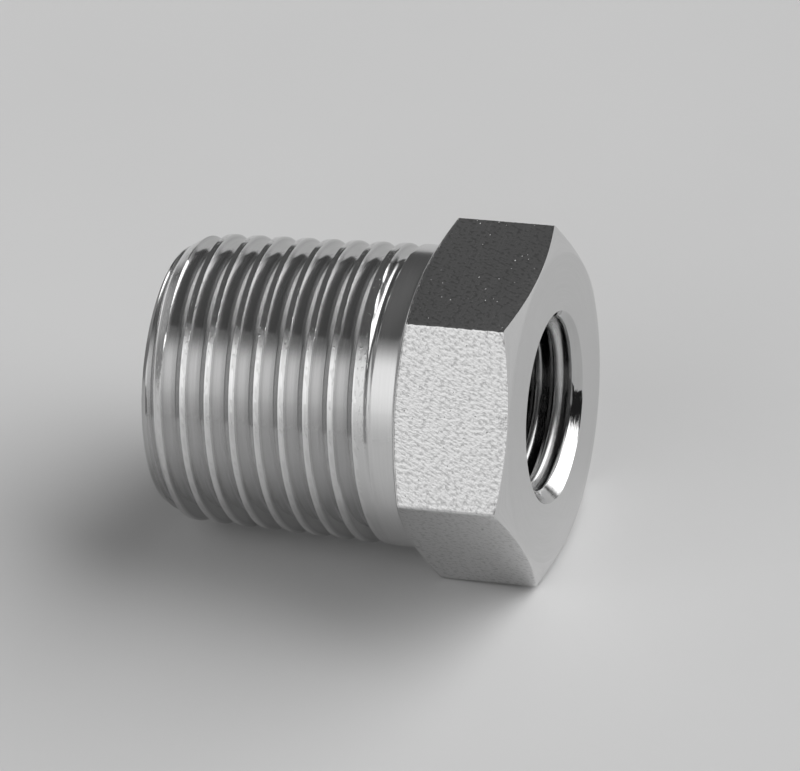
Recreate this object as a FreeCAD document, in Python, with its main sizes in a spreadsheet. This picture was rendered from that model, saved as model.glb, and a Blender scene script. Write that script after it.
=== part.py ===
import FreeCAD, Part
import os
import Sketcher

# Hex bushing: a reducing bushing turned in one piece from hexagonal steel bar, in millimetres.
# It is drawn along its own X axis, with the hex face at x = 0 and the small threaded end at
# x = -overall_length, and "depth" below is the distance from the hex face.
# The finished piece lies on the floor (z = 0) as it comes to rest, on one flat of its hexagon
# and on the last full crest of its tapered thread, so its small end points a little down.

# Driving dimensions.
SIZES = {
    # hexagonal head
    "across_flats": 22,
    "hex_length": 8.3,
    "face_diameter": 21.7,
    "front_chamfer_angle": 20.5,
    "back_chamfer_angle": 18,
    # shank: plain collar, tapered blank of the thread, lead chamfer at the small end
    "overall_length": 27.2,
    "collar_diameter": 21.2,
    "collar_length": 1.9,
    "taper_ratio": 16,
    "lead_chamfer_length": 1.65,
    "end_face_diameter": 18.3,
    # outer thread: 14 turns to the inch, with a run-out that climbs into the collar
    "thread_angle": 55,
    "pitch": 1.8143,
    "crest_share": 0.224,
    "root_share": 0.168,
    "runout_setback": 2.58,
    "runout_turns": 0.5,
    "thread_bearing": 60,
    # bore, as the tap's core drill leaves it
    "bore_diameter": 11.3,
    "countersink_diameter": 13.3,
    "countersink_angle": 90,
    "end_break": 0.3,
    # how far a cutting profile reaches past the crests, as a share of half a crest,
    # and how much further a climbing cut runs after it has left the metal
    "profile_reach": 0.6,
    "overrun": 1.1,
}

# Sizes that follow from the driving ones.
DERIVED = {
    "flat_radius": "sizes.across_flats / 2",
    "corner_radius": "sizes.across_flats / sqrt(3)",
    "face_radius": "sizes.face_diameter / 2",
    "rim_radius": "2 * corner_radius - face_radius",
    "front_chamfer_depth": "(rim_radius - face_radius) * tan(sizes.front_chamfer_angle * 1 deg)",
    "back_chamfer_depth": "(rim_radius - face_radius) * tan(sizes.back_chamfer_angle * 1 deg)",
    "collar_radius": "sizes.collar_diameter / 2",
    "slope": "1 / (2 * sizes.taper_ratio)",
    "taper_depth": "sizes.hex_length + sizes.collar_length",
    "lead_depth": "sizes.overall_length - sizes.lead_chamfer_length",
    "lead_radius": "collar_radius - (lead_depth - taper_depth) * slope",
    "end_radius": "sizes.end_face_diameter / 2",
    "flank_slope": "tan(sizes.thread_angle / 2 * 1 deg)",
    # outer groove, where the full thread meets its run-out
    "crest_flat": "sizes.pitch * sizes.crest_share",
    "mouth_half": "(sizes.pitch - crest_flat) / 2",
    "root_half": "sizes.pitch * sizes.root_share / 2",
    "thread_depth": "(mouth_half - root_half) / flank_slope",
    "reach": "crest_flat / 2 * sizes.profile_reach",
    "top_half": "mouth_half + reach",
    "groove_depth": "sizes.hex_length + sizes.runout_setback",
    "crest_radius": "collar_radius - (groove_depth - taper_depth) * slope",
    "root_radius": "crest_radius - thread_depth",
    "top_radius": "crest_radius + reach / flank_slope",
    "thread_turns": "(sizes.overall_length - groove_depth) / sizes.pitch + 1",
    "runout_climb": "(collar_radius - root_radius) / sizes.runout_turns",
    # bore
    "bore_radius": "sizes.bore_diameter / 2",
    "sink_radius": "sizes.countersink_diameter / 2",
    "sink_slope": "tan(sizes.countersink_angle / 2 * 1 deg)",
    "break_radius": "bore_radius + sizes.end_break",
    # rest: the hexagon's back rim and the last crest edge on the floor side
    "rim_depth": "sizes.hex_length"
                 " - (flat_radius - face_radius) * tan(sizes.back_chamfer_angle * 1 deg)",
    "floor_groove": "groove_depth + sizes.pitch * (180 - sizes.thread_bearing) / 360",
    "full_ridges": "floor((lead_depth - floor_groove + mouth_half) / sizes.pitch)",
    "ridge_edge": "floor_groove + full_ridges * sizes.pitch - mouth_half",
    "contact_depth": "ridge_edge + 2 * mouth_half < lead_depth ? lead_depth : ridge_edge",
    "contact_radius": "collar_radius - (contact_depth - taper_depth) * slope",
    "rest_tilt": "atan((flat_radius - contact_radius) / (contact_depth - rim_depth))",
    "rest_lift": "rim_depth * sin(rest_tilt) + flat_radius * cos(rest_tilt)",
    "rest_shift": "(sizes.overall_length * cos(rest_tilt)"
                  " + (end_radius - face_radius) * sin(rest_tilt)) / 2",
}

# Headings of a helix, drawn about its own Z axis from a start on its own X axis.
TO_SMALL_END = "rotation(vector(0; 1; 0); -90)"
TO_HEX = "rotation(vector(1; 0; 1); 180)"
AXIS_TURN = FreeCAD.Rotation(FreeCAD.Vector(1, 0, 0), 1)

doc = FreeCAD.newDocument("hex_bushing")


def sheet_of(name, cells):
    """A spreadsheet with one aliased cell a row."""
    sheet = doc.addObject("Spreadsheet::Sheet", name)
    for row, (alias, content) in enumerate(cells.items(), start=1):
        sheet.set(f"A{row}", alias)
        sheet.set(f"B{row}", str(content))
        sheet.setAlias(f"B{row}", alias)
    doc.recompute()
    return sheet


sheet_of("sizes", SIZES)
sheet_of("derived", {alias: "=" + formula for alias, formula in DERIVED.items()})

body = doc.addObject("PartDesign::Body", "blank")


def origin_feature(role):
    """The body's own origin plane or axis of that role."""
    return next(item for item in body.Origin.OriginFeatures if item.Role == role)


def sketch_on(plane, name):
    sketch = body.newObject("Sketcher::SketchObject", name)
    sketch.AttachmentSupport = [(origin_feature(plane), "")]
    sketch.MapMode = "FlatFace"
    return sketch


def place(sketch, line, coordinate, expression):
    """Ties the start of a line to a coordinate: 0 puts it on the sketch axis."""
    axis, kind = {"x": (-2, "DistanceX"), "y": (-1, "DistanceY")}[coordinate]
    if expression == "0":
        sketch.addConstraint(Sketcher.Constraint("PointOnObject", line, 1, axis))
        return
    value = float(sketch.evalExpression(expression))
    index = sketch.addConstraint(Sketcher.Constraint(kind, -1, 1, line, 1, value))
    sketch.setExpression(f"Constraints[{index}]", expression)


def add_outline(sketch, corners):
    """A closed outline of straight lines through corners (x, radius), given as expressions."""
    points = [FreeCAD.Vector(*(float(sketch.evalExpression(side)) for side in corner), 0)
              for corner in corners]
    first = sketch.GeometryCount
    count = len(points)
    for start, end in zip(points, points[1:] + points[:1]):
        sketch.addGeometry(Part.LineSegment(start, end), False)
    for step, (along, radius) in enumerate(corners):
        following = first + (step + 1) % count
        sketch.addConstraint(Sketcher.Constraint("Coincident", first + step, 2, following, 1))
        place(sketch, first + step, "x", along)
        place(sketch, first + step, "y", radius)


def revolved(kind, name, *outlines):
    """A full turn about the X axis of one sketch that holds the outlines."""
    sketch = sketch_on("XZ_Plane", name + "_profile")
    for corners in outlines:
        add_outline(sketch, corners)
    feature = body.newObject(kind, name)
    feature.Profile = sketch
    feature.ReferenceAxis = (sketch, ["H_Axis"])
    feature.Angle = 360
    doc.recompute()
    return feature


def groove_profile():
    """The trapezoid that cuts the thread, from its root to past its crests.

    It stands where the full thread meets its run-out, at the thread's bearing round the axis.
    """
    sketch = sketch_on("XZ_Plane", "groove")
    sketch.AttachmentOffset = FreeCAD.Placement(FreeCAD.Vector(), AXIS_TURN)
    sketch.setExpression("AttachmentOffset.Rotation.Angle", "-sizes.thread_bearing * 1 deg")
    add_outline(sketch, [
        ("-derived.groove_depth - derived.root_half", "derived.root_radius"),
        ("-derived.groove_depth + derived.root_half", "derived.root_radius"),
        ("-derived.groove_depth + derived.top_half", "derived.top_radius"),
        ("-derived.groove_depth - derived.top_half", "derived.top_radius"),
    ])
    return sketch


def thread_tool(name, profile, turns, growth, heading):
    """The solid that the groove profile sweeps along a right-hand conical helix.

    growth is the change of radius in each turn, and heading lays the helix's own axis along
    the bushing's, with its start on the side where the profile stands.
    """
    helix = doc.addObject("Part::Helix", name + "_path")
    helix.SegmentLength = 1
    helix.setExpression("Pitch", "sizes.pitch * 1 mm")
    helix.setExpression("Height", f"sizes.pitch * ({turns}) * 1 mm")
    helix.setExpression("Radius", "derived.root_radius * 1 mm")
    helix.setExpression("Angle", f"atan(({growth}) / sizes.pitch)")
    helix.setExpression("Placement", "placement(vector(-derived.groove_depth; 0; 0); "
                        f"rotation(vector(1; 0; 0); -sizes.thread_bearing) * {heading})")
    doc.recompute()
    tool = doc.addObject("Part::Sweep", name)
    tool.Sections = [profile]
    tool.Spine = (helix, [f"Edge{turn}" for turn in range(1, len(helix.Shape.Edges) + 1)])
    tool.Solid = True
    tool.Frenet = True
    doc.recompute()
    return tool


def hex_head():
    """A hexagonal prism with a flat on top, its two ends chamfered on the lathe."""
    sketch = sketch_on("YZ_Plane", "hexagon")
    half_side = "derived.corner_radius / 2"
    add_outline(sketch, [
        ("derived.corner_radius", "0"),
        (half_side, "derived.flat_radius"),
        ("-" + half_side, "derived.flat_radius"),
        ("-derived.corner_radius", "0"),
        ("-" + half_side, "-derived.flat_radius"),
        (half_side, "-derived.flat_radius"),
    ])
    pad = body.newObject("PartDesign::Pad", "head")
    pad.Profile = sketch
    pad.Reversed = True
    pad.setExpression("Length", "sizes.hex_length * 1 mm")
    doc.recompute()
    front = [
        ("0", "derived.face_radius"),
        ("0", "derived.rim_radius"),
        ("-derived.front_chamfer_depth", "derived.rim_radius"),
    ]
    back = [
        ("-sizes.hex_length", "derived.face_radius"),
        ("-sizes.hex_length", "derived.rim_radius"),
        ("-sizes.hex_length + derived.back_chamfer_depth", "derived.rim_radius"),
    ]
    revolved("PartDesign::Groove", "head_chamfers", front, back)


def shank():
    """Collar, tapered blank and lead chamfer, rooted halfway into the head."""
    revolved("PartDesign::Revolution", "shank", [
        ("-sizes.hex_length / 2", "0"),
        ("-sizes.hex_length / 2", "derived.collar_radius"),
        ("-derived.taper_depth", "derived.collar_radius"),
        ("-derived.lead_depth", "derived.lead_radius"),
        ("-sizes.overall_length", "derived.end_radius"),
        ("-sizes.overall_length", "0"),
    ])


def bore():
    """A drilled hole right through, countersunk at the head and its far edge broken."""
    sketch = sketch_on("YZ_Plane", "bore_circle")
    circle = Part.Circle(FreeCAD.Vector(), FreeCAD.Vector(0, 0, 1),
                         float(sketch.evalExpression("derived.bore_radius")))
    sketch.addGeometry(circle, False)
    sketch.addConstraint(Sketcher.Constraint("Coincident", 0, 3, -1, 1))
    radius = sketch.addConstraint(Sketcher.Constraint("Radius", 0, circle.Radius))
    sketch.setExpression(f"Constraints[{radius}]", "derived.bore_radius")
    pocket = body.newObject("PartDesign::Pocket", "bore")
    pocket.Profile = sketch
    pocket.Type = "ThroughAll"
    doc.recompute()
    revolved("PartDesign::Groove", "bore_ends", [
        ("0", "0"),
        ("0", "derived.sink_radius"),
        ("-derived.sink_radius / derived.sink_slope", "0"),
    ], [
        ("-sizes.overall_length", "0"),
        ("-sizes.overall_length", "derived.break_radius"),
        ("-sizes.overall_length + derived.break_radius", "0"),
    ])


def thread_tools():
    """The two tools that cut the tapered thread from the blank.

    One goes from the end of the full thread back off the small end. The other is the run-out,
    the last half turn where the chaser left the work: its groove climbs out through the collar
    and is gone before it comes round to the first full turn.
    """
    profile = groove_profile()
    return [
        thread_tool("thread", profile, "derived.thread_turns",
                    "-sizes.pitch * derived.slope", TO_SMALL_END),
        thread_tool("runout", profile, "sizes.runout_turns * sizes.overrun",
                    "derived.runout_climb", TO_HEX),
    ]


def cut_threads(tools):
    """The blank with each thread tool cut from it in turn."""
    piece = body
    for tool in tools:
        cut = doc.addObject("Part::Cut", tool.Name + "_cut")
        cut.Base = piece
        cut.Tool = tool
        piece = cut
    doc.recompute()
    return piece


def lay_down(piece):
    """Tips the small end down until its last crest touches, and sets the piece on the floor."""
    piece.setExpression("Placement", "placement("
                        "vector(derived.rest_shift; 0; derived.rest_lift);"
                        " rotation(vector(0; 1; 0); -derived.rest_tilt))")
    doc.recompute()


def check_document(piece):
    """Stops before anything is written if an object failed or the solid isn't whole."""
    for item in doc.Objects:
        if "Invalid" in item.State or "Error" in item.State:
            raise RuntimeError(f"{item.Name} failed: {item.State}")
    if piece.Shape.isNull() or not piece.Shape.isValid() or len(piece.Shape.Solids) != 1:
        raise RuntimeError(f"{piece.Label} is not one valid solid")


hex_head()
shank()
bore()
bushing = cut_threads(thread_tools())
bushing.Label = "hex_bushing"
lay_down(bushing)
check_document(bushing)

os.makedirs("parts", exist_ok=True)
bushing.Shape.exportStep(f"parts/{bushing.Label}.step")
box = bushing.Shape.optimalBoundingBox()
print(f"{bushing.Label}: {bushing.Shape.Volume:.1f} mm3, {len(bushing.Shape.Faces)} faces, "
      f"x {box.XMin:.2f} to {box.XMax:.2f}, y {box.YMin:.2f} to {box.YMax:.2f}, "
      f"z {box.ZMin:.3f} to {box.ZMax:.2f}")
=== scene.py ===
# %% [markdown]
# # A hex bushing in turned steel
# The part is a reducing bushing cut in one piece from hexagonal bar: a hex head with a threaded
# hole in its face, and a tapered outer thread behind it. The CAD model gives its size and its
# place on the floor. This script gives it the finer skin: eased edges, the inner thread, the
# run-out of the die, the grain of the rolled bar and the steel itself.

import math

import bmesh
import bpy
import numpy as np
from mathutils import Matrix, Vector


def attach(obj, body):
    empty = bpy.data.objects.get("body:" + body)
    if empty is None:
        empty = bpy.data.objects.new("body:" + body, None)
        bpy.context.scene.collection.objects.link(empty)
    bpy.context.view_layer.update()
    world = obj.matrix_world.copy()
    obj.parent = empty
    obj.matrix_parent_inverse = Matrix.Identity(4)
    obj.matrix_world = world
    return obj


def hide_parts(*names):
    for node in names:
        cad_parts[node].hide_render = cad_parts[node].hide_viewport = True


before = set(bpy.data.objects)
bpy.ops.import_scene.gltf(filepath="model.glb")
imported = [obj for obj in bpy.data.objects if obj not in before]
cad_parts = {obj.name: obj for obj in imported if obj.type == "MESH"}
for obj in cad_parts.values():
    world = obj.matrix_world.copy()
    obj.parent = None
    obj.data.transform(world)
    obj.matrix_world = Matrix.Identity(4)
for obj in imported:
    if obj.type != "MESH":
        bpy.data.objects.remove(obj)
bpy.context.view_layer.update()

# %% [markdown]
# ## How the bushing lies
# Every size below is in millimetres in the bushing's own frame: x runs along its axis, 0 at the
# hex face and negative towards the small end. On the floor it rests on a flat of the hexagon and
# on the last crest of its thread, so the axis leans a little. One turn about Y and one shift
# carry the bushing's frame to the scene's frame, in metres.

# %% The turn and the shift
MM = 0.001
REST_TILT = math.radians(2.92788)
REST_SHIFT = np.array([13.5388, 0.0, 11.4071])
TILT = np.array([
    [math.cos(REST_TILT), 0.0, -math.sin(REST_TILT)],
    [0.0, 1.0, 0.0],
    [math.sin(REST_TILT), 0.0, math.cos(REST_TILT)],
])


def to_scene(points):
    """Scene point = (TILT . bushing point + shift) in metres, for points as rows of x, y, z."""
    return (points @ TILT.T + REST_SHIFT) * MM


print("hex face centre in the scene:", to_scene(np.zeros((1, 3)))[0].round(5))

# %% [markdown]
# ## The camera
# The photograph was taken from far off with a long lens, which keeps the flats nearly parallel.
# The camera's place, its small roll and its lens come from fitting the outline of the hexagon
# and the rows of crests.

# %% Set up the camera
CAMERA_PLACE = Vector((0.14568, -0.40183, 0.32970))
CAMERA_AZIMUTH = math.radians(19.639)
CAMERA_ELEVATION = math.radians(36.712)
CAMERA_ROLL = math.radians(-4.553)
LENS = 343.0

back = Vector((
    math.sin(CAMERA_AZIMUTH) * math.cos(CAMERA_ELEVATION),
    -math.cos(CAMERA_AZIMUTH) * math.cos(CAMERA_ELEVATION),
    math.sin(CAMERA_ELEVATION),
))
level = Vector((0.0, 0.0, 1.0)).cross(back).normalized()
upright = back.cross(level)
right = level * math.cos(CAMERA_ROLL) + upright * math.sin(CAMERA_ROLL)
up = back.cross(right)

camera_data = bpy.data.cameras.new("camera")
camera_data.lens = LENS
camera_data.sensor_width = 36.0
camera_data.clip_start = 0.05
camera_data.clip_end = 20.0
camera = bpy.data.objects.new("camera", camera_data)
camera.matrix_world = Matrix.Translation(CAMERA_PLACE) @ Matrix((right, up, back)).transposed().to_4x4()
bpy.context.scene.collection.objects.link(camera)
bpy.context.scene.camera = camera
print("camera looks along", [round(-v, 3) for v in back])

# %% [markdown]
# ## Columns round the axis
# The whole skin is one grid: columns go round the axis, rows go along the section. A hexagon
# needs its columns close together at the six corners, where the bar's edge is rounded, and far
# apart on the flats.

# %% Angles of the columns
CORNER_OFFSETS = np.array([0.19, 0.38, 0.57, 0.75, 1.7, 3.0])
FLAT_OFFSETS = np.arange(5.0, 30.0, 3.0)
FIRST_CORNER = -120.0
around_corner = np.concatenate([
    [-30.0], -FLAT_OFFSETS[::-1], -CORNER_OFFSETS[::-1], [0.0], CORNER_OFFSETS, FLAT_OFFSETS,
])
corners = np.arange(FIRST_CORNER, FIRST_CORNER + 360.0, 60.0)
phi = (corners[:, None] + around_corner[None, :]).ravel()
phi = np.append(phi, phi[0] + 360.0)
turn = np.radians(phi)
print("columns:", len(phi) - 1, "from", phi[0], "to", phi[-1])

# %% [markdown]
# ## The hexagonal head
# The bar is 22 mm across its flats. Seen along the axis, the distance from the axis to the skin
# follows straight lines between corners, with a small arc on each corner. The face is turned, and
# a cone cut over the corners leaves the curved edges between chamfer and flats.

# %% Rows of the head
FLAT_RADIUS = 11.0
CORNER_ROUND = 0.25
HEX_LENGTH = 8.3
FACE_RADIUS = 10.85
FRONT_SLOPE = math.tan(math.radians(20.5))
BACK_SLOPE = math.tan(math.radians(18.0))
COLLAR_RADIUS = 10.6
COLLAR_END = -10.2
THREAD_TOP = -8.9
EDGE = 0.006
BACK_EDGE = 0.16
BACK_BEND = BACK_EDGE * 1.25
FACE_RADII = (6.84, 6.95, 7.8, 9.0, 10.2, FACE_RADIUS - 0.03)
NECK = ((10.82, 0.0), (10.76, -0.01), (10.69, -0.04), (10.635, -0.10), (10.605, -0.18), (10.60, -0.27))


def hex_radius(angle):
    """r(a) = flat / cos(d) on a flat, d being the angle from its middle, and on a corner the arc
    r(a) = c cos(e) + sqrt(q^2 - c^2 sin(e)^2), e being the angle from the corner, q the arc's
    radius and c the distance of its centre from the axis."""
    from_corner = np.radians((angle + 30.0) % 60.0 - 30.0)
    from_flat = np.radians(angle % 60.0 - 30.0)
    straight = FLAT_RADIUS / np.cos(from_flat)
    centre = (FLAT_RADIUS - CORNER_ROUND) / math.cos(math.radians(30.0))
    inside = CORNER_ROUND ** 2 - (centre * np.sin(from_corner)) ** 2
    arc = centre * np.cos(from_corner) + np.sqrt(np.maximum(inside, 0.0))
    reach = math.atan(CORNER_ROUND * 0.5 / (centre + CORNER_ROUND * math.cos(math.radians(30.0))))
    return np.where(np.abs(from_corner) < reach, arc, straight)


def ring(x, r):
    """One row: x and r for every column, from numbers or arrays."""
    return np.broadcast_to(x, phi.shape), np.broadcast_to(r, phi.shape)


hex_r = hex_radius(phi)
front_x = -(hex_r - FACE_RADIUS) * FRONT_SLOPE
back_x = -HEX_LENGTH + (hex_r - FACE_RADIUS) * BACK_SLOPE

head_rows = [ring(0.0, r) for r in FACE_RADII]
for share in (0.02, 0.25, 0.5, 0.75):
    r = FACE_RADIUS + (hex_r - FACE_RADIUS) * share
    head_rows.append(ring(-(r - FACE_RADIUS) * FRONT_SLOPE, r))
head_rows.append(ring(front_x + EDGE * FRONT_SLOPE, hex_r - EDGE))
head_rows.append(ring(front_x - EDGE * 0.14, hex_r - EDGE * 0.16))
for share in np.linspace(0.0, 1.0, 9):
    start = front_x - EDGE
    head_rows.append(ring(start + (back_x + BACK_EDGE - start) * share, hex_r))
for turned in (20.0, 40.0, 60.0):
    bend = math.radians(turned)
    edge_x = back_x + BACK_EDGE - BACK_BEND * math.sin(bend)
    head_rows.append(ring(edge_x, hex_r - BACK_BEND * (1.0 - math.cos(bend))))
for share in (1.0, 0.6, 0.3, 0.02):
    r = FACE_RADIUS + (hex_r - BACK_EDGE - FACE_RADIUS) * share
    head_rows.append(ring(-HEX_LENGTH + (r - FACE_RADIUS) * BACK_SLOPE, r))
for r, x in NECK:
    head_rows.append(ring(-HEX_LENGTH + x, r))
print("rows of the head:", len(head_rows))

# %% [markdown]
# ## The outer thread
# A die cuts a 55 degree groove, nearly sharp at its root, 14 turns to the inch, into a blank that
# tapers 1 in 16. Its crests keep the turned cone, with sharp edges. The rows follow the groove:
# each one falls by a pitch in a turn, so the last column of one row meets the first column of the
# row one pitch on. Past the collar and past the end they are held on the boundary, and points
# that fall together are joined later.
#
# Towards the head the groove runs out over half a turn, where the die's lead chamfer last
# touched. There the cut gets shallower and its section rounder.

# %% Rows of the outer thread
PITCH = 1.8143
GROOVE_START = -10.88
START_ANGLE = 150.0
THREAD_DEPTH = 1.06
ROOT_SOFTNESS = 0.004
FLANK_SLOPE = 0.661
TAPER = 1 / 32
SMALL_END = -27.2
LEAD_START = -25.55
LEAD_RADIUS = 10.12
END_RADIUS = 9.15
CREST_BREAK = 0.003
FORMING_ANGLE = 95.0
FORMED_OVER = 55.0
RUNOUT_WIDTH = 0.22
RUNOUT_ANGLES = (-30.0, -15.0, 10.0, 37.0, 57.0, 80.0, 127.0, 150.0)
RUNOUT_DEPTHS = (0.0, 0.02, 0.05, 0.08, 0.15, 0.45, 0.88, THREAD_DEPTH)


def hold_above(value, limit, rounding):
    """Soft maximum: (a + b + sqrt((a - b)^2 + k^2)) / 2."""
    return 0.5 * (value + limit + np.sqrt((value - limit) ** 2 + rounding ** 2))


def groove_rise(offset, softness, slope):
    """Height of a groove over its lowest point: (sqrt(u^2 + a^2) - a) / slope, round at the root
    and nearly straight up the flanks."""
    return (np.sqrt(offset ** 2 + softness ** 2) - softness) / slope


def thread_rows(half_pattern, pitch, first_centre, top, bottom):
    """x(m, a) = c0 + offset - pitch (a - a0) / 360, held between top and bottom, where offset
    repeats every pitch. Gives each point's x and its offset from the middle of its groove."""
    pattern = np.concatenate([-half_pattern[:0:-1], half_pattern])[::-1]
    highest = math.ceil((top - first_centre) / pitch + (phi[-1] - START_ANGLE) / 360.0 + 1)
    lowest = math.floor((bottom - first_centre) / pitch + (phi[0] - START_ANGLE) / 360.0 - 1)
    numbers = np.arange(highest, lowest, -1)
    offset = np.tile(pattern, len(numbers))[:, None]
    centre = np.repeat(first_centre + numbers * pitch, len(pattern))[:, None]
    centre = centre - pitch * (phi[None, :] - START_ANGLE) / 360.0
    wanted = centre + offset
    inside = np.flatnonzero((wanted.min(axis=1) < top) & (wanted.max(axis=1) > bottom))
    rows = slice(inside[0] - 1, inside[-1] + 2)
    x = np.clip(wanted[rows], bottom, top)
    return x, x - centre[rows]


mouth = math.sqrt((THREAD_DEPTH * FLANK_SLOPE + ROOT_SOFTNESS) ** 2 - ROOT_SOFTNESS ** 2)
flank_offsets = [0.0, 0.02, 0.06, 0.12, 0.20, 0.28, 0.36, 0.44, 0.53, 0.61]
outer_pattern = np.array(flank_offsets + [mouth - 0.03, mouth, mouth + 0.03, PITCH / 2])
outer_x, outer_offset = thread_rows(outer_pattern, PITCH, GROOVE_START, THREAD_TOP, SMALL_END)
print("rows of the outer thread:", outer_x.shape)


def outer_radius(x, offset):
    """Smaller of the lead chamfer's cone and (crest cone less the cut). The cut is the die's V,
    depth - groove_rise, in the full turns and depth (1 - (offset / half width)^2) in the run-out,
    where the die's lead chamfer is what touches; depth falls with the angle over the run-out."""
    crest = COLLAR_RADIUS - np.maximum(COLLAR_END - x, 0.0) * TAPER
    angle = START_ANGLE + (GROOVE_START - (x - offset)) / PITCH * 360.0
    depth = np.interp(angle, RUNOUT_ANGLES, RUNOUT_DEPTHS)
    sharp_cut = depth - groove_rise(offset, ROOT_SOFTNESS, FLANK_SLOPE)
    half_width = RUNOUT_WIDTH + 0.5 * depth / THREAD_DEPTH
    soft_cut = depth * (1.0 - (offset / half_width) ** 2)
    formed = np.clip((angle - FORMING_ANGLE) / FORMED_OVER, 0.0, 1.0)
    cut = soft_cut + (sharp_cut - soft_cut) * formed
    cut = np.where(depth > 0.0, np.maximum(cut, 0.0), 0.0)
    lead = END_RADIUS + (x - SMALL_END) * (LEAD_RADIUS - END_RADIUS) / (LEAD_START - SMALL_END)
    return -hold_above(-(crest - cut), -lead, CREST_BREAK), cut


outer_r, outer_cut = outer_radius(outer_x, outer_offset)
print("outer radius from", outer_r.min().round(3), "to", outer_r.max().round(3))

# %% [markdown]
# ## The bore
# The hole is drilled right through for the tap, eased at the small end and countersunk at the
# hex face. The tap's groove starts in the countersink, gets shallower as the bore stays straight
# while the tap tapers, and fades out over its last two turns. Its crests are rounded, since a tap
# tears them more than a die does.

# %% Rows of the bore and its thread
BORE_RADIUS = 5.65
BREAK = 0.3
SINK_RADIUS = 6.78
TAP_PITCH = 1.3368
TAP_START = -0.74
TAP_ROOT = 6.58
TAP_SOFTNESS = 0.05
TAP_SLOPE = 0.528
TAP_END = -12.2
TAP_FULL = 7.0
TAP_FADE = 2.0
RIDGE_ROUNDING = 0.16
SINK_ROUNDING = 0.02
TOUCH = 1e-6
EASED = ((0.01, 0.29), (0.15, 0.15), (0.28, 0.02), (0.35, 0.0))
STRAIGHT = ((1.2, 0.0), (4.0, 0.0), (8.0, 0.0), (12.0, 0.0))

end_rows = []
rim = outer_r[-1]
for share in (0.02, 0.1, 0.35, 0.7, 0.97):
    end_rows.append(ring(SMALL_END, rim + (BORE_RADIUS + BREAK - rim) * share))
for x, r in EASED + STRAIGHT:
    end_rows.append(ring(SMALL_END + x, BORE_RADIUS + r))

tap_pattern = np.array([0.0, 0.05, 0.14, 0.26, 0.38, 0.46, 0.49, 0.56, TAP_PITCH / 2])
tap_x, tap_offset = thread_rows(tap_pattern, TAP_PITCH, TAP_START, 0.0, TAP_END)
tap_x, tap_offset = tap_x[::-1], tap_offset[::-1]


def tap_radius(x, offset):
    """The widest of the straight bore, the countersink r = SINK_RADIUS + x and the tap's groove.
    The groove's root starts TAP_ROOT from the axis, leans in with the taper and fades over the
    last turns. At the two ends the skin is held exactly on the countersink and on the bore."""
    turned = (TAP_START - (x - offset)) / TAP_PITCH
    fade = np.clip((TAP_FULL + TAP_FADE - turned) / TAP_FADE, 0.0, 1.0)
    root = BORE_RADIUS + (TAP_ROOT + x * TAPER - BORE_RADIUS) * fade
    groove = root - groove_rise(offset, TAP_SOFTNESS, TAP_SLOPE)
    bored = hold_above(groove, BORE_RADIUS, RIDGE_ROUNDING)
    radius = hold_above(bored, SINK_RADIUS + x, SINK_ROUNDING)
    radius = np.where(x > -TOUCH, SINK_RADIUS, radius)
    return np.where(x < TAP_END + TOUCH, BORE_RADIUS, radius)


tap_r = tap_radius(tap_x, tap_offset)
print("rows of the inner thread:", tap_r.shape, "radius", tap_r.min().round(3), tap_r.max().round(3))

# %% [markdown]
# ## One closed skin
# The rows go once round the section: face, chamfer, flats, collar, thread, end, bore, countersink
# and back to the face. Points that fall together along the seam and the boundaries are joined,
# which closes the skin. A chart of turns and distances along the section carries the grain.

# %% Build the mesh
MM_PER_CHART = 100.0
MM_ROUND = 69.1

grid_x = np.vstack([[x for x, r in head_rows], outer_x, [x for x, r in end_rows], tap_x])
grid_r = np.vstack([[r for x, r in head_rows], outer_r, [r for x, r in end_rows], tap_r])
points = np.stack([grid_x, -grid_r * np.cos(turn), grid_r * np.sin(turn)], axis=-1)
row_count, column_count = grid_x.shape
index = np.arange(row_count * column_count).reshape(row_count, column_count)
index = np.vstack([index, index[:1]])
quads = np.stack([index[:-1, :-1], index[:-1, 1:], index[1:, 1:], index[1:, :-1]], axis=-1)
quads = quads.reshape(-1, 4)

mesh = bpy.data.meshes.new("bushing")
mesh.from_pydata(to_scene(points.reshape(-1, 3)), [], quads.tolist())
steps = np.hypot(np.diff(grid_x, axis=0), np.diff(grid_r, axis=0)).mean(axis=1)
travel = np.concatenate([[0.0], np.cumsum(steps)])
around = np.broadcast_to(phi / 360.0, grid_x.shape)
across = np.broadcast_to(travel[:, None] / MM_PER_CHART, grid_x.shape)
chart = np.stack([around, across], axis=-1).reshape(-1, 2)
mesh.uv_layers.new(name="turning").data.foreach_set("uv", chart[quads.ravel()].ravel())
print("rows and columns of the skin:", grid_x.shape)

# %% [markdown]
# ## Where each point is
# The finish of the real part changes from place to place, and so do the shade and light painted
# into its colour, so each point stores where it is: on a rolled flat or a turned face, how far
# under a crest, on which side of a groove, how deep in the bore. The numbers ride on the mesh
# and the steel reads them.

# %% Store the places
def mark(name, head, outer, end, tap):
    """Store one number per point: the four arguments are the values on the four groups of rows."""
    groups = ((head, len(head_rows)), (outer, len(outer_x)), (end, len(end_rows)), (tap, len(tap_x)))
    rows = [np.broadcast_to(value, (count, len(phi))) for value, count in groups]
    mesh.attributes.new(name, "FLOAT", "POINT").data.foreach_set("value", np.vstack(rows).ravel())


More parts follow.
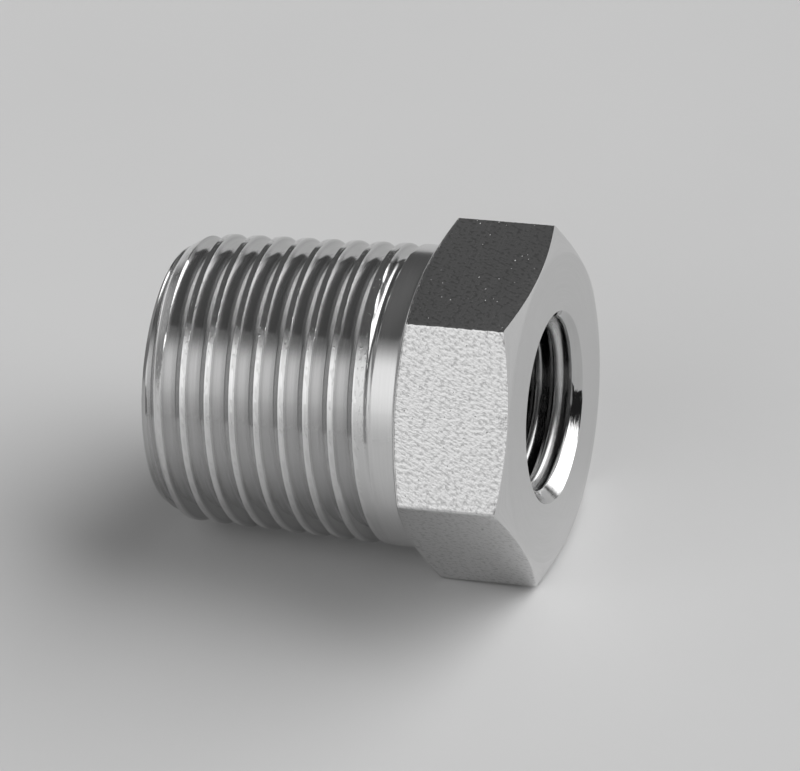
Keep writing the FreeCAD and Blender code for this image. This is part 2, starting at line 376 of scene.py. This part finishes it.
head_x = grid_x[:len(head_rows)]
head_r = grid_r[:len(head_rows)]
on_flat = np.abs(head_r - hex_r) < EDGE / 2
on_face = (head_r < FACE_RADIUS) & (head_x > -0.1)
on_collar = outer_x > COLLAR_END + 0.05
mark("rolled", on_flat.astype(float), 0.0, 0.0, 0.0)
mark("below_crest", -1.0, np.where(on_collar, -1.0, outer_cut), -1.0, -1.0)
mark("side", 0.0, np.clip(outer_offset / 0.3, -1.0, 1.0), 0.0, 0.0)
mark("inside", 0.0, 0.0, 8.0, np.clip(-tap_x, 0.0, 8.0))
mark("collar", (head_x < -HEX_LENGTH).astype(float), on_collar.astype(float), 0.0, 0.0)
mark("turned_face", on_face.astype(float), 0.0, 0.0, 0.0)
tap_cut = tap_r - np.maximum(BORE_RADIUS, SINK_RADIUS + tap_x)
mark("tap_groove", 0.0, 0.0, 0.0, np.clip(tap_cut / 0.5, 0.0, 1.0))
print("points on rolled flats:", int(on_flat.sum()))

# %% [markdown]
# ## Joined and smoothed
# The grid's two long edges meet along the seam, and held points lie on each other. Joining them
# leaves one closed skin. Edges sharper than 38 degrees stay crisp, as turning leaves them.

# %% Join and smooth
JOIN_DISTANCE = 4e-7
SHARP_ANGLE = math.radians(38.0)

welded = bmesh.new()
welded.from_mesh(mesh)
bmesh.ops.remove_doubles(welded, verts=welded.verts, dist=JOIN_DISTANCE)
bmesh.ops.dissolve_degenerate(welded, dist=1e-8, edges=welded.edges)
if welded.calc_volume(signed=True) < 0:
    bmesh.ops.reverse_faces(welded, faces=welded.faces)
open_edges = sum(1 for edge in welded.edges if len(edge.link_faces) != 2)
print("volume in mm3:", round(welded.calc_volume(signed=True) * 1e9, 1), "edges not closed:", open_edges)
welded.to_mesh(mesh)
welded.free()
mesh.shade_smooth()
mesh.set_sharp_from_angle(angle=SHARP_ANGLE)
bushing = bpy.data.objects.new("bushing", mesh)
bpy.context.scene.collection.objects.link(bushing)
smoothing = bushing.modifiers.new("weighted", "WEIGHTED_NORMAL")
smoothing.mode = "FACE_AREA"
smoothing.weight = 50
smoothing.keep_sharp = True
triangles = sum(len(face.vertices) - 2 for face in mesh.polygons)
print("triangles:", triangles)

# %% [markdown]
# ## Steel
# The real part is bare stainless steel: cold-rolled on its six flats and turned, threaded and
# tapped everywhere else. A turned surface has fine grooves round the axis, which spread a
# reflection across them, so the shader's highlight is stretched across the turning direction.
# The values stored on the points tell the material where each finish is and where shade and
# light are painted into its colour.

# %% Steel material
steel = bpy.data.materials.new("steel")
steel.use_nodes = True
steel_nodes = steel.node_tree.nodes
steel_links = steel.node_tree.links
shader = steel_nodes["Principled BSDF"]
shader.inputs["Metallic"].default_value = 1.0
shader.inputs["Anisotropic"].default_value = 0.95
shader.inputs["Anisotropic Rotation"].default_value = 0.25
grain = steel_nodes.new("ShaderNodeTangent")
grain.direction_type = "UV_MAP"
grain.uv_map = "turning"
steel_links.new(grain.outputs[0], shader.inputs["Tangent"])
print("grain follows the chart:", grain.uv_map)

# %% [markdown]
# ## Tools for the nodes
# The patterns are sums and products of noises and stored values. These few helpers each add one
# node and give back its output, so that a pattern can be written as one line.

# %% Helpers for the nodes
def put(node, name, value):
    """Set a socket to a number, or link another socket into it."""
    if isinstance(value, bpy.types.NodeSocket):
        steel_links.new(value, node.inputs[name])
    else:
        node.inputs[name].default_value = value


def attribute(name):
    """Read one number stored on the points."""
    node = steel_nodes.new("ShaderNodeAttribute")
    node.attribute_name = name
    return node.outputs["Fac"]


def remap(value, low, high, from_value=0.0, to_value=1.0):
    """A smooth step from one value to another while the first socket goes from low to high."""
    node = steel_nodes.new("ShaderNodeMapRange")
    node.interpolation_type = "SMOOTHSTEP"
    put(node, "Value", value)
    put(node, "From Min", low)
    put(node, "From Max", high)
    put(node, "To Min", from_value)
    put(node, "To Max", to_value)
    return node.outputs["Result"]


def maths(operation, first, second):
    """One sum, product or the like of two values."""
    node = steel_nodes.new("ShaderNodeMath")
    node.operation = operation
    put(node, 0, first)
    put(node, 1, second)
    return node.outputs[0]


def stretch(vector, scale, turned):
    """Scale, then turn, a vector."""
    node = steel_nodes.new("ShaderNodeMapping")
    put(node, "Vector", vector)
    node.inputs["Scale"].default_value = scale
    node.inputs["Rotation"].default_value = (0.0, 0.0, math.radians(turned))
    return node.outputs["Vector"]


def noise(vector, detail):
    """Noise with cells about one unit wide."""
    node = steel_nodes.new("ShaderNodeTexNoise")
    put(node, "Vector", vector)
    node.inputs["Scale"].default_value = 1.0
    node.inputs["Detail"].default_value = detail
    return node.outputs["Fac"]


def both(first, second):
    """The place where two places overlap."""
    return maths("MULTIPLY", first, second)


chart_node = steel_nodes.new("ShaderNodeUVMap")
chart_node.uv_map = "turning"
in_mm = stretch(chart_node.outputs["UV"], (MM_ROUND, MM_PER_CHART, 1.0), 0.0)
rolled = attribute("rolled")
below = attribute("below_crest")
side = attribute("side")
inside = attribute("inside")
tap_groove = attribute("tap_groove")
collar = attribute("collar")
turned_face = attribute("turned_face")
print("steel reads", [a.name for a in mesh.attributes if a.domain == "POINT"])

# %% [markdown]
# ## Pits of the rolled bar
# Rolling and pickling leave the bar's flats with short shallow pits, all leaning one way. They
# are about 0.2 mm wide, so they're drawn as noise stretched along a slanting direction. The pits
# are relief, and their darker colour is painted shade.

# %% Pits of the rolled bar
PIT_SLANT = -62.0
PITS_PER_MM = (3.0, 4.8, 1.0)

slanting = stretch(in_mm, (1.0, 1.0, 1.0), PIT_SLANT)
# the pits are both relief and painted shade in the colour
pit = both(noise(stretch(slanting, PITS_PER_MM, 0.0), 1.5), rolled)
print("pits per mm along and across their slant:", PITS_PER_MM[:2])

# %% [markdown]
# ## Places
# The finish changes from place to place on the real part, and some places carry painted shade or
# painted light in the colour. The places are worked out from the stored values: the crests, the
# two flanks of each groove, its root, the countersink, and the ridges, roots and first flank of
# the inner thread.

# %% Places
on_thread = remap(below, -0.2, -0.02)
in_groove = remap(below, 0.05, 0.2)
on_crest = both(on_thread, remap(below, 0.0, 0.06, 1.0, 0.0))
# this place also carries painted shade: the flank just under each crest is painted darker
near_crest = both(on_thread, remap(below, 0.02, 0.5, 1.0, 0.0))
near_crest = both(near_crest, remap(side, -0.5, 0.5, 1.0, 0.3))
crest_edge = both(on_thread, remap(below, 0.0, 0.18, 1.0, 0.0))
at_middle = remap(maths("ABSOLUTE", side, 0.0), 0.3, 0.8, 1.0, 0.0)
root_line = both(remap(below, 0.6, 0.9), at_middle)
# the two flanks of each groove carry painted light and painted shade: one is painted lighter, the other
# darker
lit_far_flank = both(remap(side, 0.2, 0.8), in_groove)
shaded_near_flank = both(remap(side, -0.8, -0.2, 1.0, 0.0), in_groove)
# the countersink also carries painted shade in the colour
in_sink = both(remap(inside, 0.0, 0.05), remap(inside, 0.5, 0.9, 1.0, 0.0))
# painted shade: deep in the tap's groove and in its first root the colour is darker
shaded_deep_groove = both(tap_groove, remap(inside, 1.3, 1.8))
shaded_first_root = both(remap(tap_groove, 0.6, 1.0), remap(inside, 1.3, 1.8, 1.0, 0.0))
on_ridge = both(remap(inside, 0.6, 1.0), remap(tap_groove, 0.0, 0.5, 1.0, 0.0))
first_flank = both(remap(inside, 0.75, 0.95), remap(inside, 1.5, 1.8, 1.0, 0.0))
first_flank = both(first_flank, remap(tap_groove, 0.7, 1.0, 1.0, 0.0))
print("nodes for the places:", len(steel_nodes))

# %% [markdown]
# ## Marks of the tools
# The lathe leaves fine streaks round the axis. The die tears the crests a little and leaves burrs
# along their edges, and the tap chatters on the first flank in the bore. Each mark is a noise
# stretched along the turning direction; the numbers are its cells per mm round and along.

# %% Marks of the tools
streak = noise(stretch(in_mm, (0.15, 9.0, 1.0), 0.0), 3.0)
grit = noise(stretch(in_mm, (5.0, 14.0, 1.0), 0.0), 2.0)
scored = noise(stretch(in_mm, (0.5, 16.0, 1.0), 0.0), 2.0)
chatter = noise(stretch(in_mm, (9.0, 1.2, 1.0), 20.0), 1.0)
burr = remap(noise(stretch(in_mm, (2.2, 5.0, 1.0), 0.0), 1.0), 0.60, 0.70)
speck = both(remap(noise(stretch(in_mm, (4.0, 6.0, 1.0), 0.0), 0.0), 0.83, 0.85), rolled)
print("nodes with the marks:", len(steel_nodes))

# %% [markdown]
# ## Colour
# One grey serves for the whole part. It's darker down in the bore and in the pits, which is
# painted shade, and lighter on the crests, which is a painted highlight. The flanks and the
# countersink carry painted light and shade as well. Each place or mark multiplies it.

# %% Colour
OUTSIDE_GREY = 0.66
# the bore's grey is painted shade, darker than the steel outside
BORE_SHADE_GREY = 0.38
SHADES = (
    # painted shade: the flanks just under each crest are painted darker
    (near_crest, 0.0, 1.0, 0.86),
    # painted shade in the deep groove and the first root of the inner thread
    (shaded_deep_groove, 0.0, 0.6, 0.75),
    (shaded_first_root, 0.0, 1.0, 0.60),
    # painted shade: the colour is darker in the pits of the rolled flats
    (pit, 0.50, 0.66, 0.76),
    (rolled, 0.0, 1.0, 1.11),
    # painted highlight: the crests are painted lighter
    (on_crest, 0.0, 1.0, 1.16),
    # painted light on one flank of each groove and painted shade on the other
    (lit_far_flank, 0.0, 1.0, 1.30),
    (shaded_near_flank, 0.0, 1.0, 0.78),
    # painted shade: the countersink is painted darker, dimming the lamp's reflection there
    (in_sink, 0.0, 1.0, 0.85),
    (collar, 0.0, 1.0, 1.06),
    (turned_face, 0.0, 1.0, 0.94),
)

# painted shade: the grey darkens from the mouth of the bore inwards
tone = remap(inside, 0.9, 2.6, OUTSIDE_GREY, BORE_SHADE_GREY)
for place, low, high, factor in SHADES:
    tone = maths("MULTIPLY", tone, remap(place, low, high, 1.0, factor))
tone = maths("MULTIPLY", tone, remap(streak, 0.3, 0.7, 0.97, 1.03))
colour = steel_nodes.new("ShaderNodeCombineColor")
for channel in ("Red", "Green", "Blue"):
    steel_links.new(tone, colour.inputs[channel])
steel_links.new(colour.outputs[0], shader.inputs["Base Color"])
print("grey outside and in the bore:", OUTSIDE_GREY, BORE_SHADE_GREY)

# %% [markdown]
# ## Roughness
# The turned surfaces are nearly polished. The crests, the collar, the roots and the ridges of
# the inner thread are duller, and a few specks on the flats don't shine at all.

# %% Roughness
DULLER = (
    (root_line, 0.12),
    (in_sink, -0.05),
    (collar, 0.08),
    (on_ridge, 0.16),
    (first_flank, 0.15),
    (lit_far_flank, 0.06),
    (speck, 0.5),
    (rolled, 0.03),
)

gloss = remap(near_crest, 0.0, 1.0, 0.09, 0.15)
for place, added in DULLER:
    gloss = maths("ADD", gloss, maths("MULTIPLY", place, added))
gloss = maths("ADD", gloss, remap(streak, 0.3, 0.7, -0.01, 0.02))
steel_links.new(gloss, shader.inputs["Roughness"])
print("places with their own roughness:", len(DULLER))

# %% [markdown]
# ## Relief
# The marks are too shallow for the mesh, so they're relief in the material. Each mark has its
# height here, in thousandths of a millimetre; the pits are the deepest.

# %% Relief
HEIGHTS = (
    (pit, -47.0),
    (streak, 0.25),
    (both(grit, on_crest), 3.0),
    (both(burr, crest_edge), 7.0),
    (both(chatter, first_flank), 12.0),
    (both(scored, in_sink), 9.0),
)

relief = 0.0
for mark_noise, height in HEIGHTS:
    relief = maths("ADD", relief, maths("MULTIPLY", mark_noise, height))
bump = steel_nodes.new("ShaderNodeBump")
bump.inputs["Distance"].default_value = MM * 0.001
put(bump, "Height", relief)
steel_links.new(bump.outputs[0], shader.inputs["Normal"])
mesh.materials.append(steel)
print("nodes of the steel:", len(steel_nodes))

# %% [markdown]
# ## The floor
# The bushing lies on a pale matt sheet. Its grey varies by about a hundredth from place to
# place, as that of real board does, and shows only as a faint cloudiness.

# %% Floor
CLOUDS_PER_METRE = 30.0
FLOOR_REACH = 3.0
FLOOR_GREYS = (0.642, 0.660)

floor_mesh = bpy.data.meshes.new("floor")
floor_corners = [(x * FLOOR_REACH, y * FLOOR_REACH, 0) for x, y in ((-1, -1), (1, -1), (1, 1), (-1, 1))]
floor_mesh.from_pydata(floor_corners, [], [(0, 1, 2, 3)])
floor = bpy.data.objects.new("floor", floor_mesh)
bpy.context.scene.collection.objects.link(floor)
paper = bpy.data.materials.new("table")
paper.use_nodes = True
paper_nodes = paper.node_tree.nodes
paper_links = paper.node_tree.links
paper_shader = paper_nodes["Principled BSDF"]
paper_shader.inputs["Roughness"].default_value = 0.7
paper_place = paper_nodes.new("ShaderNodeTexCoord")
cloud = paper_nodes.new("ShaderNodeTexNoise")
cloud.inputs["Scale"].default_value = CLOUDS_PER_METRE
cloud.inputs["Detail"].default_value = 3.0
paper_links.new(paper_place.outputs["Object"], cloud.inputs["Vector"])
shade = paper_nodes.new("ShaderNodeMapRange")
shade.inputs["From Min"].default_value = 0.3
shade.inputs["From Max"].default_value = 0.7
shade.inputs["To Min"].default_value = FLOOR_GREYS[0]
shade.inputs["To Max"].default_value = FLOOR_GREYS[1]
paper_links.new(cloud.outputs["Fac"], shade.inputs["Value"])
paper_colour = paper_nodes.new("ShaderNodeCombineColor")
for channel in ("Red", "Green", "Blue"):
    paper_links.new(shade.outputs["Result"], paper_colour.inputs[channel])
paper_links.new(paper_colour.outputs[0], paper_shader.inputs["Base Color"])
floor_mesh.materials.append(paper)
print("floor:", [round(v, 2) for v in floor.dimensions])

# %% [markdown]
# ## Studio light
# A photographer's room: a pale wall on the camera's side, which the near surfaces mirror, a dark
# ceiling and a grey strip of wall on the far side, a faint glow on the left and darkness on the
# right. A wide soft lamp high on the right gives the shadow. Each `step_between` is one of
# these borders, as a smooth step over a component of the direction.

# %% Room
SOFTBOX_LEVEL = 3.2
world = bpy.data.worlds.new("room")
bpy.context.scene.world = world
world.use_nodes = True
nodes = world.node_tree.nodes
links = world.node_tree.links
direction = nodes.new("ShaderNodeTexCoord")
split = nodes.new("ShaderNodeSeparateXYZ")
links.new(direction.outputs["Generated"], split.inputs[0])
side_x, side_y, side_z = split.outputs


def step_between(value, low, high, from_value, to_value):
    """A smooth step of a socket, from one number to another."""
    node = nodes.new("ShaderNodeMapRange")
    node.interpolation_type = "SMOOTHSTEP"
    links.new(value, node.inputs["Value"])
    node.inputs["From Min"].default_value = low
    node.inputs["From Max"].default_value = high
    for name, number in (("To Min", from_value), ("To Max", to_value)):
        if isinstance(number, float):
            node.inputs[name].default_value = number
        else:
            links.new(number, node.inputs[name])
    return node.outputs["Result"]


def along(x, y, z):
    """Cosine of the angle between the looking direction and a fixed one."""
    node = nodes.new("ShaderNodeVectorMath")
    node.operation = "DOT_PRODUCT"
    links.new(direction.outputs["Generated"], node.inputs[0])
    node.inputs[1].default_value = (x, y, z)
    return node.outputs["Value"]


def combine(operation, first, second):
    """Sum or product of two sockets."""
    node = nodes.new("ShaderNodeMath")
    node.operation = operation
    links.new(first, node.inputs[0])
    links.new(second, node.inputs[1])
    return node.outputs[0]


print("parts of a direction:", [part.name for part in split.outputs])

# %% [markdown]
# ## Walls, ceiling and lamp
# What the steel shows is mostly the room, so each level is set by what a surface of the photo
# mirrors: the collar and the crests show the pale near wall, the top flat the dark ceiling, the
# upper crests the strip of far wall, and the countersink the border between dark and lamp.

# %% Light the room
upper = step_between(side_z, 0.50, 0.92, 0.088, 0.098)
ceiling = step_between(side_x, -0.86, -0.72, 0.36, upper)
dark_right = step_between(side_x, 0.40, 0.70, ceiling, 0.02)
low_wall = step_between(side_z, 0.02, 0.04, 0.42, dark_right)
far_side = step_between(side_x, 0.25, 0.45, low_wall, dark_right)
near_level = step_between(side_z, 0.0, 0.60, 0.62, 1.15)
front_right = step_between(side_x, 0.60, 0.80, 0.30, 0.02)
front_wall = step_between(side_x, -0.22, 0.05, near_level, front_right)
seam_level = step_between(side_x, 0.0, 0.40, 0.25, 0.02)
front_rise = step_between(side_y, -0.56, -0.22, front_wall, seam_level)
room = step_between(along(0.410, 0.912, 0.0), -0.35, -0.32, front_rise, far_side)

from_lamp = along(0.734, 0.424, 0.530)
round_edge = step_between(from_lamp, 0.669, 0.883, 0.0, SOFTBOX_LEVEL)
lower_edge = step_between(along(-0.359, 0.137, 0.923), 0.0, 0.03, 0.0, 1.0)
softbox = combine("MULTIPLY", round_edge, lower_edge)
links.new(combine("ADD", room, softbox), nodes["Background"].inputs["Color"])
nodes["Background"].inputs["Strength"].default_value = 1.0
print("nodes of the room:", len(nodes))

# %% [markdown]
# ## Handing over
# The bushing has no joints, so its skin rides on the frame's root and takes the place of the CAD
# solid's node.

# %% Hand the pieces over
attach(bushing, "root")
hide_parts("hex_bushing")
view = bpy.context.scene.view_settings
view.view_transform = "Standard"
